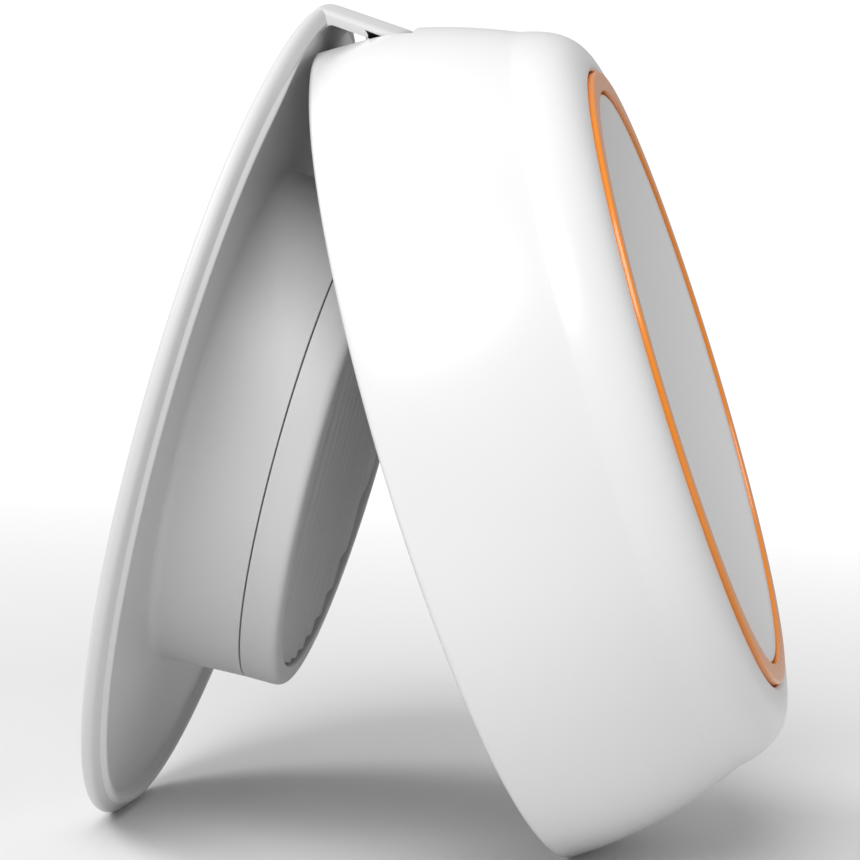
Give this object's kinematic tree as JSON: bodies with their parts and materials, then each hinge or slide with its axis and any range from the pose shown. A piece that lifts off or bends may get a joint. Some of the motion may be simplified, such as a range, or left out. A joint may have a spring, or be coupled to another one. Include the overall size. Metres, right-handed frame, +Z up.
{
  "type": "mesh wifi node",
  "caption": "Mesh wifi node of hinged discs standing open like a tent: a crowned white head with an orange-ringed dish, and a back plate whose round pod folds into the head.",
  "frame": {"origin": "on the floor plane under the middle of the standing node's overall box", "axes": "+Z up, Y along the hinge between the two discs, +X towards the head's dished front, -X towards the back plate's outer face"},
  "size_m": [0.0956, 0.1204, 0.1172],
  "materials": {
    "gloss_white": "glossy white moulded shell",
    "satin_white": "fine satin white",
    "orange": "glossy orange",
    "pad_grey": "satin light grey",
    "pad_rubber": "matt dark grey",
    "cover_grey": "satin light grey",
    "steel": "satin zinc plate",
    "washer_brass": "plain",
    "circuit_board": "solder mask green",
    "chip_black": "matt black",
    "tin_plate": "bright tinned",
    "aluminium": "bare sheet",
    "light_guide": "milky clear",
    "cell_wrap": "shrink sleeve",
    "button_grey": "satin grey"
  },
  "bodies": {
    "plate": {"back_plate": "satin_white", "rubber_pad": "pad_rubber", "pod_cap": "satin_white", "ribbed_pad": "pad_grey", "battery_cell": "cell_wrap", "charge_board": "circuit_board", "charge_inductor": "chip_black", "battery_connector": "satin_white", "board_screw_1": "steel", "board_screw_2": "steel", "board_screw_3": "steel"},
    "head": {"front_shell": "gloss_white", "accent_ring": "orange", "front_dish": "gloss_white", "light_guide": "light_guide", "rear_cover": "cover_grey", "cover_screw_1": "steel", "cover_screw_2": "steel", "cover_screw_3": "steel", "cover_screw_4": "steel", "hinge_ear_left": "steel", "hinge_ear_right": "steel", "friction_washer_left": "washer_brass", "friction_washer_right": "washer_brass", "ear_screw_left": "steel", "ear_screw_right": "steel", "hinge_pin": "steel", "main_board": "circuit_board", "processor": "chip_black", "shield_can_left": "tin_plate", "shield_can_right": "tin_plate", "heat_spreader": "aluminium", "antenna_1": "circuit_board", "antenna_2": "circuit_board", "antenna_3": "circuit_board", "antenna_4": "circuit_board", "ethernet_jack_wan": "tin_plate", "ethernet_jack_lan": "tin_plate", "power_jack": "tin_plate", "sync_switch": "chip_black", "reset_switch": "chip_black", "status_light_pipe": "light_guide"},
    "sync_button": {"sync_button": "button_grey"},
    "reset_button": {"reset_button": "button_grey"}
  },
  "joints": [
    {"name": "fold_hinge", "type": "hinge", "parent": "plate", "child": "head", "pos_m": [-0.0153, 0, 0.10801], "axis": [0, 1, 0], "range_deg": [0, 32.4]},
    {"name": "sync_press", "type": "slide", "parent": "head", "child": "sync_button", "axis": [0.9323, 0, 0.3617], "range_m": [0, 0.0008], "stiffness_N_per_m": 1500},
    {"name": "reset_press", "type": "slide", "parent": "head", "child": "reset_button", "axis": [0.9323, 0, 0.3617], "range_m": [0, 0.0008], "stiffness_N_per_m": 1500}
  ]
}
